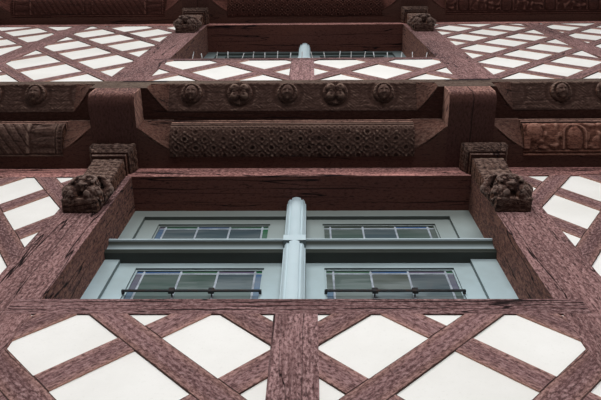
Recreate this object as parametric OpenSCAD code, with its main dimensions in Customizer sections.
// Front wall of a half-timbered town house: one window bay and the lattice
// bays beside it, two storeys high, with a carved jetty over each storey.
// Origin in the middle of the ground sill's underside, +X to the right seen
// from the street, +Y into the house, +Z up. Millimetres.

/* [Frame] */
// Distance between the main posts, centre to centre
bay_w = 2040; // [1800:10:2400]
// Distance from a post beside the window to the middle post, centre to centre
mid_off = 1040; // [1000:5:1080]
// Width of a main post
post_w = 230; // [180:5:280]
// Width of the posts in the middle of the lattice bays
mid_post_w = 160; // [120:5:200]
// Width of the stub post under a window
stub_w = 150; // [110:5:190]
// Depth of sills, posts and plates, front to back
wall_d = 260; // [230:5:320]
// Depth of braces and stub posts
brace_d = 200; // [140:5:220]

/* [Lower storey] */
// Height of the ground sill
ground_sill_h = 200; // [150:5:260]
// Height of the lattice field under the lower window
low_parapet_h = 754; // [650:2:850]
// Height of the rail under the lower window
low_rail_h = 97; // [70:1:130]
// Height of the lower window opening
low_window_h = 1270; // [1150:2:1500]
// Height of the lower casements, from the rail to the transom
low_casement_h = 694; // [600:2:760]
// Distance from the main post's middle to the reference crossing of the lower lattice
low_cross_x = 230; // [180:1:280]
// Height of that crossing above the sill
low_cross_z = 1353; // [1250:1:1450]
// Width of the lower braces
low_bar_w = 96; // [70:2:120]

/* [Upper storey] */
// Height of the lattice field under the upper window
up_parapet_h = 667; // [600:1:740]
// Height of the rail under the upper window
up_rail_h = 60; // [50:1:100]
// Height of the upper window opening
up_window_h = 1740; // [1500:2:1900]
// Height of the upper casements, from the rail to the transom
up_casement_h = 900; // [800:5:1000]
// Width of the upper lattice's braces
up_bar_w = 80; // [60:2:100]
// Width of the braces under the upper window
up_parapet_bar_w = 94; // [70:2:120]

/* [Rails and plates] */
// How far a rail is lapped over the posts
rail_lap = 95; // [60:5:110]
// Depth of the lap
rail_lap_d = 45; // [30:5:70]
// Height of a wall plate
plate_h = 130; // [110:2:180]

/* [Jetty] */
// How far the storey above stands out
overhang = 413; // [360:1:450]
// Width of a jetty beam
beam_w = 248; // [220:2:280]
// Height of a jetty beam
beam_h = 166; // [140:2:200]
// Radius of the rounded lower edge of a beam's end
nose_r = 62; // [40:1:90]
// Length of the beams behind the wall
beam_tail = 520; // [450:10:800]
// From a beam's side to where the sill's stop starts
sill_stop_off = 34; // [8:1:45]
// Height of a carved sill
sill_h = 186; // [160:2:220]
// How far the carved face of a sill runs back
sill_splay_d = 135; // [110:1:150]
// How high the carved face of a sill is
sill_splay_h = 105; // [80:1:120]
// Length of the curved stop at each end of a sill's carved face
sill_stop_l = 108; // [80:1:130]
// How full the curve of its stops is: 0 for a straight line, 1 for a quarter round
sill_stop_bulge = 0.25; // [0:0.05:1]
// Radius of the round bosses on a sill
boss_r = 50; // [40:1:60]
// How far the bosses stand out of the carved face
boss_h = 16; // [8:1:24]
// Distance from one boss to the next
boss_step = 269; // [220:1:320]
// Where the bosses sit on the splay, from its edge on the face, as a share of the splay
boss_place = 0.38; // [0.32:0.02:0.6]

/* [Fillers] */
// How far the filler timbers stand out from the wall
filler_out = 232; // [200:1:250]
// Height of the two beads at the top of a filler
filler_bead_h = 76; // [60:1:90]
// Height of the plain edge over the stops of a filler
filler_lip_h = 20; // [10:1:30]
// Depth of the flat under the roll of a filler
filler_flat_d = 61; // [40:1:80]
// Size of the square fillet between the roll and the flat
filler_fillet = 10; // [6:1:14]
// Length of the curved stop at each end of a filler
filler_stop_l = 167; // [130:1:190]
// How far a filler's stops run back
filler_stop_d = 124; // [100:1:150]
// From a beam's side to where the filler's stop starts
filler_stop_off = 4; // [3:1:20]
// How full the curve of its stops is
filler_stop_bulge = 0.3; // [0:0.05:1]
// Thickness of the floor boards
board_t = 30; // [24:1:40]

/* [Brackets] */
// Width of a bracket's cap
cap_w = 236; // [200:2:250]
// How far a bracket's cap stands out
cap_out = 140; // [120:2:170]
// Height of the cap
cap_h = 92; // [70:2:120]
// How far the cap is drawn in towards its foot, on three sides
cap_draw = 20; // [10:1:30]
// Height of the fillet under the cap
fillet_h = 26; // [16:1:36]
// How far the fillet lies behind the cap's foot
fillet_in = 8; // [4:1:16]
// Width of a bracket's shaft
shaft_w = 158; // [130:2:180]
// How far the shaft stands out at its head
shaft_out = 92; // [75:1:100]
// How far the shaft stands out at its foot
shaft_foot_out = 34; // [24:1:60]
// Height of a whole bracket
bracket_h = 620; // [560:5:700]
// Height of the ledge that the carved figure sits on
ledge_h = 26; // [16:1:40]
// How far the ledge stands out
ledge_out = 62; // [40:1:80]
// Radius of the figure's head
head_r = 54; // [44:1:60]
// Radius of its knees
knee_r = 40; // [34:1:44]
// Height of its knees' middle over the ledge
knee_h = 30; // [20:1:33]
// How far its knees' middle stands out
knee_out = 42; // [36:1:50]
// Distance between its knees, centre to centre
knee_apart = 92; // [86:1:110]

/* [Windows] */
// How far the lower window lies to the right of its bay's middle
low_window_shift = -24; // [-40:1:40]
// How far the upper window lies to the right of its bay's middle
up_window_shift = 0; // [-40:1:40]
// How much further back the upper window stands
up_set_back = 46; // [0:1:50]
// How far the window frame lies behind the wall's face
recess = 200; // [170:2:200]
// Width of the frame's jambs
jamb_w = 94; // [80:1:110]
// Height of the frame's head
head_h = 78; // [60:1:100]
// Height of the frame's foot, behind the rail's edge
foot_h = 35; // [25:1:60]
// Width of the mullion
mullion_w = 105; // [80:1:120]
// How far the mullion stands out of the frame
mullion_out = 80; // [64:1:100]
// Radius of the mullion's flutes
flute_r = 7; // [4:0.5:9]
// Height of the square block on the mullion, level with the transom's top
block_h = 58; // [40:1:70]
// Height of the transom
transom_h = 98; // [85:1:130]
// How far the transom stands out of the frame
transom_out = 60; // [50:1:75]
// Height of the fillet along the transom's top edge
transom_fillet = 10; // [6:1:14]
// Radius of the transom's bead
bead_r = 10; // [7:1:12]
// Radius of the small bead under it
small_bead_r = 6; // [4:0.5:8]
// Step from the frame's face back to the sashes
sash_step = 20; // [8:1:22]
// Thickness of a sash
sash_t = 38; // [30:1:38]
// Width of a sash's outer stile
stile_w = 85; // [70:1:120]
// Width of a sash's stile beside the mullion
meeting_w = 85; // [70:1:120]
// Height of a casement's upper rail
casement_rail = 47; // [40:1:70]
// Height of a top light's upper rail
light_rail = 54; // [40:1:80]
// Height of the sashes' lower rails
sash_rail = 104; // [80:1:120]
// Width of the moulding round the glass
mould_w = 8; // [5:1:14]
// Depth of that moulding
mould_d = 9; // [5:1:12]
// Thickness of the leaded glass
glass_t = 6; // [4:1:8]

/* [Infill] */
// How far the plaster lies behind the timber's face
plaster_back = 6; // [2:1:15]
// Thickness of the plastered infill
plaster_t = 180; // [120:5:190]

/* [Hidden] */

timber = "#8a625c";
carved = "#6f5a4f";
shade = "#5c3b34";
plaster = "#efeee8";
paint = "#a9bab8";
pane = "#6d8580";

wall_w = 3 * bay_w + post_w;
main_x = [for (i = [-1.5, -0.5, 0.5, 1.5]) i * bay_w];
mid_x = [-bay_w / 2 - mid_off, bay_w / 2 + mid_off];
clear_w = bay_w - post_w;
half_w = (clear_w - stub_w) / 2;
// Inner and outer lattice field: distance of its inner edge from the wall's middle, and its width
fields = [[bay_w / 2 + post_w / 2, mid_off - post_w / 2 - mid_post_w / 2],
          [bay_w / 2 + mid_off + mid_post_w / 2, bay_w - mid_off - post_w / 2 - mid_post_w / 2]];

// Each storey: front face, top of its sill, heights of its parapet, window and casement
low_front = -wall_d / 2;
up_front = low_front - overhang;
up_window_front = up_front + up_set_back;
low_z = ground_sill_h;
low_plate_z = low_z + low_parapet_h + low_rail_h + low_window_h;
up_beam_z = low_plate_z + plate_h;
up_sill_z = up_beam_z + beam_h;
up_z = up_sill_z + sill_h;
up_plate_z = up_z + up_parapet_h + up_rail_h + up_window_h;
top_beam_z = up_plate_z + plate_h;
top_sill_z = top_beam_z + beam_h;

// Distance of each brace's head from the middle of the bay, on the lower parapet
low_rise_x = [-816, -356, 201];
low_fall_x = [-1174, -640, -191];
// Lattice meshes: width and height from crossing to crossing
low_mesh = [400, 590];
up_left_mesh = [500, 676];
up_right_mesh = [470, 545];
parapet_mesh = [510, 633];
// Reference crossings: distance from the main post's middle and height above the sill,
// for the lattice field beside that post and for the outer one
low_cross = [[low_cross_x, low_cross_z], [low_cross_x, low_cross_z]];
up_left_cross = [[295, 309], [1421, 1774]];
up_right_cross = [[290, 269], [290, 269]];
// The same for the parapet under the upper window, from the wall's middle
parapet_cross = [490, 577];

// How far each beam and bracket lies to the right of its post's middle
low_beam_shift = [0, 10, -110, 0];
up_beam_shift = [0, 0, 0, 0];
low_bracket_shift = [0, 0, -35, 0];
up_bracket_shift = [0, 0, 0, 0];
// How far the bosses of each bay lie to the right of the bay's middle
low_boss_shift = [0, -27, 0];
up_boss_shift = [0, 0, 0];

cut = 1;
arc_steps = 10;
// Longer than any brace
long_bar = 6000;

// A box from its lowest corner
module block(x, y, z, w, d, h) translate([x, y, z]) cube([w, d, h]);

// Stands an outline drawn in x and z upright, with its face at y and depth d
module upright(y, d) translate([0, y + d, 0]) rotate([90, 0, 0]) linear_extrude(d) children();

// Runs a profile drawn in y and z along x from x0 over length l
module run(x0, l) translate([x0, 0, 0]) rotate([90, 0, 90]) linear_extrude(l) children();

// A straight bar of width b through a point, at a slope given as rise over run
module bar_2d(p, rise, b) translate(p) rotate(atan(rise)) square([long_bar, b], center = true);

// Two families of crossing bars through the meshes around one crossing, over a height h
module mesh_2d(cross, mesh, b, h) {
  n = ceil((h * mesh[0] / mesh[1] + bay_w) / mesh[0]);
  for (k = [-n : n]) {
    bar_2d([cross[0] + k * mesh[0], cross[1]], mesh[1] / mesh[0], b);
    bar_2d([cross[0] + k * mesh[0], cross[1]], -mesh[1] / mesh[0], b);
  }
}

// Posts

module posts(front, z, h, rail_z, rail_h) color(timber) {
  difference() {
    for (x = main_x) block(x - post_w / 2, front, z, post_w, wall_d, h);
    for (s = [-1, 1])
      block(s * clear_w / 2 + (s - 1) / 2 * rail_lap, front - cut, rail_z,
            rail_lap, rail_lap_d + cut, rail_h);
  }
  for (x = mid_x) block(x - mid_post_w / 2, front, z, mid_post_w, wall_d, h);
}

module stub_post(front, z, h) color(timber) block(-stub_w / 2, front, z, stub_w, brace_d, h);

// The rail under a window, lapped over the posts' faces
module rail(front, z, rail_h) color(timber) {
  block(-clear_w / 2, front, z, clear_w, wall_d, rail_h);
  block(-clear_w / 2 - rail_lap, front, z, clear_w + 2 * rail_lap, rail_lap_d, rail_h);
}

module beam_row(front, z, h) color(timber) block(-wall_w / 2, front, z, wall_w, wall_d, h);

// Lattice bays beside the window: side 0 is left and 1 right, field 0 inner and 1 outer

module side_field(i, h) translate([-fields[i][0] - fields[i][1], 0]) square([fields[i][1], h]);

module field_bars(cross, mesh, b, h) mesh_2d([-bay_w / 2 - cross[0], cross[1]], mesh, b, h);

module side_lattice(side, front, z, h, cross, mesh, b) color(timber)
  mirror([side, 0, 0]) translate([0, 0, z]) upright(front, brace_d)
    for (i = [0, 1]) intersection() {
      side_field(i, h);
      field_bars(cross[i], mesh, b, h);
    }

module side_plaster(side, front, z, h, cross, mesh, b) color(plaster)
  mirror([side, 0, 0]) translate([0, 0, z]) upright(front + plaster_back, plaster_t)
    for (i = [0, 1]) difference() {
      side_field(i, h);
      field_bars(cross[i], mesh, b, h);
    }

// Parapet under a window, left half drawn and mirrored for the right

module half_field(h) translate([-clear_w / 2, 0]) square([half_w, h]);

module low_parapet_bars() {
  for (x = low_rise_x) bar_2d([x, low_parapet_h], 1, low_bar_w);
  for (x = low_fall_x) bar_2d([x, low_parapet_h], -1, low_bar_w);
}

module up_parapet_bars()
  mesh_2d([-parapet_cross[0], parapet_cross[1]], parapet_mesh, up_parapet_bar_w, up_parapet_h);

module lower_parapet(y, d, solid) for (m = [0, 1])
  mirror([m, 0, 0]) translate([0, 0, low_z]) upright(y, d)
    if (solid) difference() {
      half_field(low_parapet_h);
      low_parapet_bars();
    }
    else intersection() {
      half_field(low_parapet_h);
      low_parapet_bars();
    }

module upper_parapet(y, d, solid) for (m = [0, 1])
  mirror([m, 0, 0]) translate([0, 0, up_z]) upright(y, d)
    if (solid) difference() {
      half_field(up_parapet_h);
      up_parapet_bars();
    }
    else intersection() {
      half_field(up_parapet_h);
      up_parapet_bars();
    }

// Jetty: beam ends, fillers and carved sill, all meeting the beams with curved stops

// Side outline of a beam, its front at y = 0 and rounded underneath
module beam_2d(back) {
  difference() {
    square([back, beam_h]);
    translate([-cut, -cut]) square([nose_r + cut, nose_r + cut]);
  }
  intersection() {
    translate([nose_r, nose_r]) circle(nose_r, $fn = 48);
    square(nose_r + cut);
  }
}

module jetty_beams(front, z, shift) color(shade) for (i = [0 : 3])
  translate([0, front, z]) run(main_x[i] + shift[i] - beam_w / 2, beam_w)
    beam_2d(overhang + wall_d + beam_tail);

// Left end and length of the gap between two beams
function gap_x(i, shift) = main_x[i] + shift[i] + beam_w / 2;
function gap_l(i, shift) = main_x[i + 1] + shift[i + 1] - beam_w / 2 - gap_x(i, shift);

// Plan of a stop: a curve from the face, at the beam, to depth d at length l
function stop_curve(l, d, bulge) = [for (i = [0 : arc_steps])
  let (a = 90 * i / arc_steps, straight = (1 - bulge) * i / arc_steps)
    [l * (bulge * (1 - cos(a)) + straight), d * (bulge * sin(a) + straight)]];

module stop_plan(l, d, bulge)
  polygon(concat([[0, -cut]], stop_curve(l, d, bulge), [[l, -cut]]));

// Plan of a whole carved face over length l, with a stop of length s at each end
module stopped_plan(l, s, d, bulge) {
  stop_plan(s, d, bulge);
  translate([l, 0]) mirror([1, 0]) stop_plan(s, d, bulge);
  translate([s, -cut]) square([l - 2 * s, d + cut]);
}

// A splay from depth d at the bottom to height h on the face
module splay_2d(d, h) polygon([[-cut, -cut], [d, -cut], [d, 0], [0, h], [-cut, h]]);

// A carved sill: splayed underneath between the beams, with round bosses on the splay
module carved_sill(front, z, shift, boss_shift) color(carved) {
  difference() {
    block(-wall_w / 2, front, z, wall_w, wall_d, sill_h);
    for (i = [0 : 2]) {
      x0 = gap_x(i, shift) + sill_stop_off;
      l = gap_l(i, shift) - 2 * sill_stop_off;
      intersection() {
        translate([x0, front, z - cut])
          linear_extrude(sill_splay_h + 2 * cut)
            stopped_plan(l, sill_stop_l, sill_splay_d, sill_stop_bulge);
        translate([0, front, z]) run(x0, l) splay_2d(sill_splay_d, sill_splay_h);
      }
    }
  }
  for (i = [0 : 2], k = [-2 : 2])
    translate([gap_x(i, shift) + gap_l(i, shift) / 2 + boss_shift[i] + k * boss_step,
               front + boss_place * sill_splay_d, z + (1 - boss_place) * sill_splay_h])
      rotate([180 - atan(sill_splay_h / sill_splay_d), 0, 0])
        translate([0, 0, -boss_h]) cylinder(r = boss_r, h = 2 * boss_h, $fn = 48);
}

// What is cut from a filler's lower front edge, leaving two beads, a roll and a fillet
module filler_cut_2d() {
  roll_d = filler_out - filler_flat_d;
  roll_h = beam_h - filler_bead_h;
  top_bead_r = filler_bead_h / 4;
  difference() {
    translate([-cut, -cut]) square([roll_d + cut, beam_h + cut]);
    for (k = [1, 3]) translate([top_bead_r, beam_h - k * top_bead_r])
      circle(top_bead_r, $fn = 24);
    translate([top_bead_r, beam_h - filler_bead_h]) square([roll_d, filler_bead_h + cut]);
    translate([roll_d, roll_h])
      scale([(roll_d - filler_fillet) / roll_h, 1]) circle(roll_h, $fn = 64);
    translate([roll_d - filler_fillet, 0]) square([filler_fillet + cut, filler_fillet]);
  }
}

// The splay of a filler's stop, limited to a stop's plan, for the gap's left or right end
module filler_stop(x, m) translate([x, 0, 0]) mirror([m, 0, 0]) intersection() {
  translate([0, 0, -cut]) linear_extrude(beam_h)
    stop_plan(filler_stop_l, filler_stop_d, filler_stop_bulge);
  run(0, filler_stop_l) splay_2d(filler_stop_d, beam_h - filler_lip_h);
}

module fillers(front, z, shift) color(carved) translate([0, front - filler_out, z])
  for (i = [0 : 2]) difference() {
    x0 = gap_x(i, shift);
    l = gap_l(i, shift);
    block(x0, 0, 0, l, filler_out + wall_d, beam_h);
    stop_end = filler_stop_off + filler_stop_l;
    filler_stop(x0 + filler_stop_off, 0);
    filler_stop(x0 + l - filler_stop_off, 1);
    run(x0 + stop_end, l - 2 * stop_end) filler_cut_2d();
  }

// Floor boards on the beams, behind the sill
module floor_boards(front, z) color(timber)
  block(-wall_w / 2, front + wall_d, z, wall_w, overhang + beam_tail, board_t);

// Brackets on the posts' faces: a cap drawn in towards its foot, a fillet, a tapering
// shaft, and a crouching figure on a ledge

// Half outline of the cap, z down from the beam: out is its reach at the head
module cap_2d(out) polygon([[0, 0], [out, 0], [out, -cap_h / 2], [out - cap_draw, -cap_h],
                            [0, -cap_h]]);

module bracket_cap() {
  intersection() {
    run(-cap_w / 2, cap_w) cap_2d(cap_out);
    for (m = [0, 1]) mirror([m, 0, 0]) upright(-cut, cap_out + 2 * cut) cap_2d(cap_w / 2);
  }
  w = cap_w - 2 * (cap_draw + fillet_in);
  block(-w / 2, 0, -cap_h - fillet_h, w, cap_out - cap_draw - fillet_in, fillet_h);
}

module bracket_shaft() run(-shaft_w / 2, shaft_w)
  polygon([[0, -cap_h], [shaft_out, -cap_h], [shaft_out, -cap_h - fillet_h],
           [shaft_foot_out, -bracket_h + ledge_h], [0, -bracket_h + ledge_h]]);

module bracket_figure() {
  seat = -bracket_h + ledge_h;
  block(-shaft_w / 2, 0, -bracket_h, shaft_w, ledge_out, ledge_h);
  translate([0, shaft_foot_out + head_r / 2, seat + knee_h + head_r]) sphere(head_r, $fn = 40);
  for (s = [-1, 1]) translate([s * knee_apart / 2, knee_out, seat + knee_h])
    sphere(knee_r, $fn = 32);
}

module brackets(front, z, shift) color(carved) for (i = [0 : 3])
  translate([main_x[i] + shift[i], front, z]) mirror([0, 1, 0]) {
    bracket_cap();
    bracket_shaft();
    bracket_figure();
  }

// Window: frame, fluted mullion, moulded transom, two casements and two top lights

frame_d = wall_d - recess;

module window_frame(front, z, h, shift) color(paint) difference() {
  block(-clear_w / 2, front + recess, z, clear_w, frame_d, h);
  block(shift - clear_w / 2 + jamb_w, front + recess - cut, z + foot_h,
        clear_w - 2 * jamb_w, frame_d + 2 * cut, h - foot_h - head_h);
}

// Section of the transom, its front at 0: fillet, cove and two beads
module transom_2d() {
  cove_top = transom_h - transom_fillet;
  cove_foot = 2 * (small_bead_r + bead_r);
  cove_d = (cove_top - cove_foot) / 2;
  translate([cove_d, 0]) square([transom_out - cove_d + frame_d, transom_h]);
  translate([0, cove_top]) square([cove_d + cut, transom_fillet]);
  difference() {
    translate([0, cove_foot]) square([cove_d + cut, cove_top - cove_foot + cut]);
    translate([0, cove_foot]) scale([1, 2]) circle(cove_d, $fn = 48);
    translate([-cut, cove_foot - cut]) square([cut + bead_r / 2, cove_top - cove_foot]);
  }
  translate([cove_d, cove_foot - bead_r]) circle(bead_r, $fn = 32);
  translate([cove_d, small_bead_r]) circle(small_bead_r, $fn = 24);
}

// Two lengths from the mullion to the posts, housed round the jambs behind
module transom(front, z, shift) color(paint) for (m = [0, 1]) mirror([m, 0, 0]) {
  x0 = mullion_w / 2 + (1 - 2 * m) * shift;
  jamb_x = clear_w / 2 - jamb_w + (1 - 2 * m) * shift;
  difference() {
    translate([0, front + recess - transom_out, z]) run(x0, clear_w / 2 - x0) transom_2d();
    block(jamb_x, front + recess, z - cut, clear_w / 2 - jamb_x + cut, frame_d + cut,
          transom_h + 2 * cut);
  }
}

// Plan of the mullion's front: half round, with two flutes on each side of the middle
module mullion_2d() {
  r = mullion_w / 2;
  difference() {
    union() {
      intersection() {
        translate([0, r]) circle(r, $fn = 96);
        translate([-r, 0]) square([2 * r, r]);
      }
      translate([-r, r]) square([2 * r, mullion_out - r]);
    }
    for (a = [-68, -34, 34, 68])
      translate([r * sin(a), r - r * cos(a)]) circle(flute_r, $fn = 24);
  }
}

// From the rail to the wall plate, with a square block where the transoms meet it
module mullion(front, z, h, casement_h, shift) color(paint)
  translate([shift, front + recess - mullion_out, z]) {
    linear_extrude(h) mullion_2d();
    block(-mullion_w / 2, mullion_out, foot_h, mullion_w, frame_d, h - foot_h - head_h);
    block(-mullion_w / 2, 0, casement_h + transom_h - block_h,
          mullion_w, mullion_out, block_h);
  }

// Outline of the left pane's opening, grown by e
module opening_2d(h, low_rail, high_rail, e)
  translate([-clear_w / 2 + jamb_w + stile_w - e, low_rail - e])
    square([clear_w / 2 - jamb_w - mullion_w / 2 - stile_w - meeting_w + 2 * e,
            h - low_rail - high_rail + 2 * e]);

module sash_2d(h) translate([-clear_w / 2 + jamb_w, 0])
  square([clear_w / 2 - jamb_w - mullion_w / 2, h]);

// A pair of sashes, each stepped in by a moulding round its pane
module sashes(front, z0, z1, low_rail, high_rail, shift)
  for (m = [0, 1]) translate([shift, 0, z0]) mirror([m, 0, 0]) {
    upright(front + recess + sash_step, mould_d) difference() {
      sash_2d(z1 - z0);
      opening_2d(z1 - z0, low_rail, high_rail, 0);
    }
    upright(front + recess + sash_step + mould_d, sash_t - mould_d) difference() {
      sash_2d(z1 - z0);
      opening_2d(z1 - z0, low_rail, high_rail, -mould_w);
    }
  }

module casements(front, z, h, shift) color(paint)
  sashes(front, z + foot_h, z + h, sash_rail, casement_rail, shift);

module top_lights(front, z0, z1, shift) color(paint)
  sashes(front, z0, z1, sash_rail, light_rail, shift);

// A pair of panes in the sashes between two heights
module pane_pair(front, z0, z1, low_rail, high_rail, shift)
  for (m = [0, 1]) translate([shift, 0, z0]) mirror([m, 0, 0])
    upright(front + recess + sash_step + mould_d + glass_t, glass_t)
      opening_2d(z1 - z0, low_rail, high_rail, -mould_w);

module panes(front, z, h, casement_h, shift) color(pane) {
  pane_pair(front, z + foot_h, z + casement_h, sash_rail, casement_rail, shift);
  pane_pair(front, z + casement_h + transom_h, z + h - head_h, sash_rail, light_rail, shift);
}

// Nodes

low_rail_z = low_z + low_parapet_h;
up_rail_z = up_z + up_parapet_h;
low_win_z = low_rail_z + low_rail_h;
up_win_z = up_rail_z + up_rail_h;
low_post_h = low_plate_z - low_z;
up_post_h = up_plate_z - up_z;

module ground_sill() beam_row(low_front, 0, ground_sill_h);
module lower_posts() posts(low_front, low_z, low_post_h, low_rail_z, low_rail_h);
module lower_stub_post() stub_post(low_front, low_z, low_parapet_h);
module lower_rail() rail(low_front, low_rail_z, low_rail_h);
module lower_plate() beam_row(low_front, low_plate_z, plate_h);
module lower_parapet_braces() color(timber) lower_parapet(low_front, brace_d, false);
module lower_parapet_plaster() color(plaster)
  lower_parapet(low_front + plaster_back, plaster_t, true);
module lower_side_lattice(side)
  side_lattice(side, low_front, low_z, low_post_h, low_cross, low_mesh, low_bar_w);
module lower_side_plaster(side)
  side_plaster(side, low_front, low_z, low_post_h, low_cross, low_mesh, low_bar_w);
module lower_left_lattice() lower_side_lattice(0);
module lower_right_lattice() lower_side_lattice(1);
module lower_left_plaster() lower_side_plaster(0);
module lower_right_plaster() lower_side_plaster(1);
module lower_window_frame() window_frame(low_front, low_win_z, low_window_h, low_window_shift);
module lower_mullion()
  mullion(low_front, low_win_z, low_window_h, low_casement_h, low_window_shift);
module lower_transom() transom(low_front, low_win_z + low_casement_h, low_window_shift);
module lower_casements() casements(low_front, low_win_z, low_casement_h, low_window_shift);
module lower_top_lights()
  top_lights(low_front, low_win_z + low_casement_h + transom_h, low_plate_z - head_h,
             low_window_shift);
module lower_glass()
  panes(low_front, low_win_z, low_window_h, low_casement_h, low_window_shift);
module lower_brackets() brackets(low_front, up_beam_z, low_bracket_shift);
module lower_jetty_beams() jetty_beams(up_front, up_beam_z, low_beam_shift);
module lower_fillers() fillers(low_front, up_beam_z, low_beam_shift);
module upper_sill() carved_sill(up_front, up_sill_z, low_beam_shift, low_boss_shift);
module upper_floor() floor_boards(up_front, up_sill_z);

module upper_posts() posts(up_front, up_z, up_post_h, up_rail_z, up_rail_h);
module upper_stub_post() stub_post(up_front, up_z, up_parapet_h);
module upper_rail() rail(up_front, up_rail_z, up_rail_h);
module upper_plate() beam_row(up_front, up_plate_z, plate_h);
module upper_parapet_braces() color(timber) upper_parapet(up_front, brace_d, false);
module upper_parapet_plaster() color(plaster)
  upper_parapet(up_front + plaster_back, plaster_t, true);
module upper_left_lattice()
  side_lattice(0, up_front, up_z, up_post_h, up_left_cross, up_left_mesh, up_bar_w);
module upper_right_lattice()
  side_lattice(1, up_front, up_z, up_post_h, up_right_cross, up_right_mesh, up_bar_w);
module upper_left_plaster()
  side_plaster(0, up_front, up_z, up_post_h, up_left_cross, up_left_mesh, up_bar_w);
module upper_right_plaster()
  side_plaster(1, up_front, up_z, up_post_h, up_right_cross, up_right_mesh, up_bar_w);
module upper_window_frame() window_frame(up_window_front, up_win_z, up_window_h, up_window_shift);
module upper_mullion()
  mullion(up_window_front, up_win_z, up_window_h, up_casement_h, up_window_shift);
module upper_transom() transom(up_window_front, up_win_z + up_casement_h, up_window_shift);
module upper_casements() casements(up_window_front, up_win_z, up_casement_h, up_window_shift);
module upper_top_lights()
  top_lights(up_window_front, up_win_z + up_casement_h + transom_h, up_plate_z - head_h,
             up_window_shift);
module upper_glass()
  panes(up_window_front, up_win_z, up_window_h, up_casement_h, up_window_shift);
module upper_brackets() brackets(up_front, top_beam_z, up_bracket_shift);
module upper_jetty_beams() jetty_beams(up_front - overhang, top_beam_z, up_beam_shift);
module upper_fillers() fillers(up_front, top_beam_z, up_beam_shift);
module top_sill() carved_sill(up_front - overhang, top_sill_z, up_beam_shift, up_boss_shift);
module top_floor() floor_boards(up_front - overhang, top_sill_z);

ground_sill();
lower_posts();
lower_stub_post();
lower_rail();
lower_plate();
lower_parapet_braces();
lower_left_lattice();
lower_right_lattice();
lower_parapet_plaster();
lower_left_plaster();
lower_right_plaster();
lower_window_frame();
lower_mullion();
lower_transom();
lower_casements();
lower_top_lights();
lower_glass();
lower_brackets();
lower_jetty_beams();
lower_fillers();
upper_sill();
upper_floor();
upper_posts();
upper_stub_post();
upper_rail();
upper_plate();
upper_parapet_braces();
upper_left_lattice();
upper_right_lattice();
upper_parapet_plaster();
upper_left_plaster();
upper_right_plaster();
upper_window_frame();
upper_mullion();
upper_transom();
upper_casements();
upper_top_lights();
upper_glass();
upper_brackets();
upper_jetty_beams();
upper_fillers();
top_sill();
top_floor();
